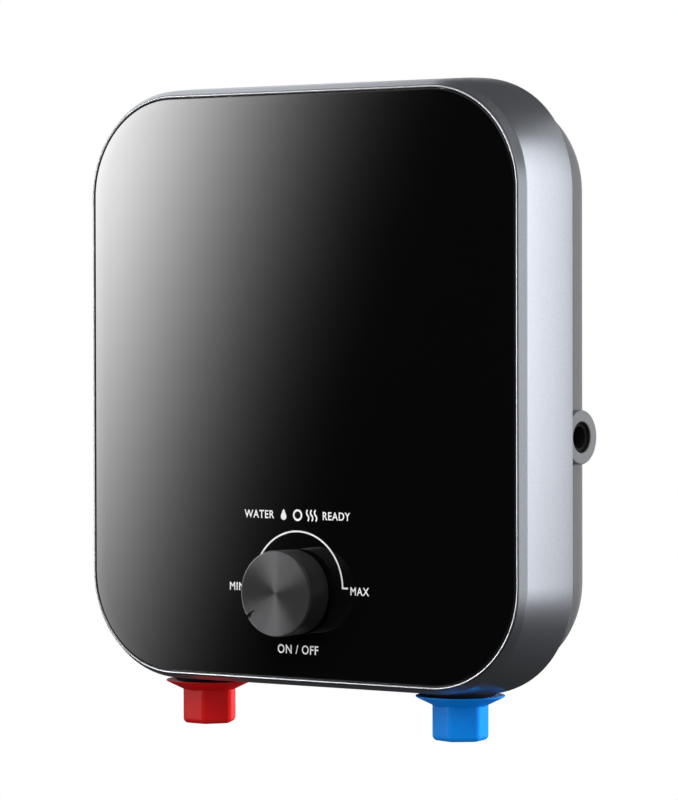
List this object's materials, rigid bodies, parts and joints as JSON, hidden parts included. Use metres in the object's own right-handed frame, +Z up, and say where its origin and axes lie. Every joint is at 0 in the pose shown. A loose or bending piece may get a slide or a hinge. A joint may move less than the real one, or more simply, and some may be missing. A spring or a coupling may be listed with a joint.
{
  "type": "instant electric water heater",
  "caption": "Wall-mounted tankless electric water heater: black glass front in a silver shell, push-and-turn knob, side cable entry and capped water stubs below.",
  "frame": {"origin": "centre of the wall-screw pattern, on the flat back that lies against the wall", "axes": "+X to the right seen from the front, +Y towards the wall, +Z up; the glass faces -Y"},
  "size_m": [0.2512, 0.0801, 0.299],
  "materials": {
    "black_glass": "polished back-painted tempered glass",
    "silver_paint": "satin silver",
    "grey_plastic": "fine moulded texture",
    "dark_plastic": "satin",
    "black_rubber": "matte",
    "knob_plastic": "satin dark grey",
    "spun_metal": "spun face with bright rim",
    "steel": "plain",
    "brass": "machined",
    "red_cap": "moulded polyethylene",
    "blue_cap": "moulded polyethylene",
    "white_plastic": "moulded",
    "led_clear": "smoked light window",
    "led_red": "tinted",
    "board_green": "printed circuit board",
    "part_blue": "moulded",
    "stainless": "deep drawn",
    "copper": "copper tube",
    "aluminium": "extruded"
  },
  "bodies": {
    "housing": {"front_glass": "black_glass", "glass_tape": "black_rubber", "front_shell": "silver_paint", "rear_cover": "grey_plastic", "shell_seal": "black_rubber", "case_screws": "steel", "control_housing": "part_blue", "control_nut": "steel", "control_washer": "steel", "shaft_seal": "black_rubber", "control_board": "board_green", "board_screws": "steel", "status_led": "led_red", "led_window": "led_clear", "cable_gland": "grey_plastic", "gland_grommet": "black_rubber", "gland_nut": "dark_plastic", "cord_clamp": "dark_plastic", "cord_clamp_screws": "steel", "terminal_block": "white_plastic", "terminal_screws": "brass", "earth_screw": "brass", "inlet_fitting": "brass", "outlet_fitting": "brass", "inlet_collar": "dark_plastic", "outlet_collar": "dark_plastic", "fitting_o_rings": "black_rubber", "inlet_filter": "stainless", "flow_sensor_body": "dark_plastic", "flow_sensor_cover": "dark_plastic", "impeller_pin": "stainless", "tank_shell": "stainless", "tank_flange": "stainless", "tank_gasket": "black_rubber", "tank_screws": "steel", "heating_element": "copper", "tank_saddles": "aluminium", "inlet_tube": "copper", "outlet_tube": "copper", "thermal_cutout": "dark_plastic", "heat_sink": "aluminium", "triac": "dark_plastic", "triac_screw": "steel", "power_board": "board_green", "power_board_parts": "part_blue", "power_board_screws": "steel"},
    "plunger": {"switch_plunger": "white_plastic"},
    "knob": {"knob_body": "knob_plastic", "knob_face": "spun_metal", "knob_hub": "brass", "control_shaft": "steel"},
    "cold_cap": {"cold_cap": "blue_cap"},
    "hot_cap": {"hot_cap": "red_cap"},
    "impeller": {"flow_impeller": "white_plastic"},
    "reset": {"reset_button": "led_red"}
  },
  "joints": [
    {"name": "knob_push", "type": "slide", "parent": "housing", "child": "plunger", "axis": [0, 1, 0], "range_m": [0, 0.0015], "stiffness_N_per_m": 1500},
    {"name": "knob_turn", "type": "hinge", "parent": "plunger", "child": "knob", "pos_m": [0, -0.065, -0.0935], "axis": [0, 1, 0], "range_deg": [-10, 260]},
    {"name": "cold_cap_pull", "type": "slide", "parent": "housing", "child": "cold_cap", "axis": [0, 0, -1], "range_m": [0, 0.025]},
    {"name": "hot_cap_pull", "type": "slide", "parent": "housing", "child": "hot_cap", "axis": [0, 0, -1], "range_m": [0, 0.025]},
    {"name": "impeller_spin", "type": "hinge", "parent": "housing", "child": "impeller", "pos_m": [0.072, -0.037, -0.082], "axis": [0, 1, 0], "continuous": true},
    {"name": "reset_press", "type": "slide", "parent": "housing", "child": "reset", "axis": [0, 0, -1], "range_m": [0, 0.001], "stiffness_N_per_m": 1200}
  ]
}
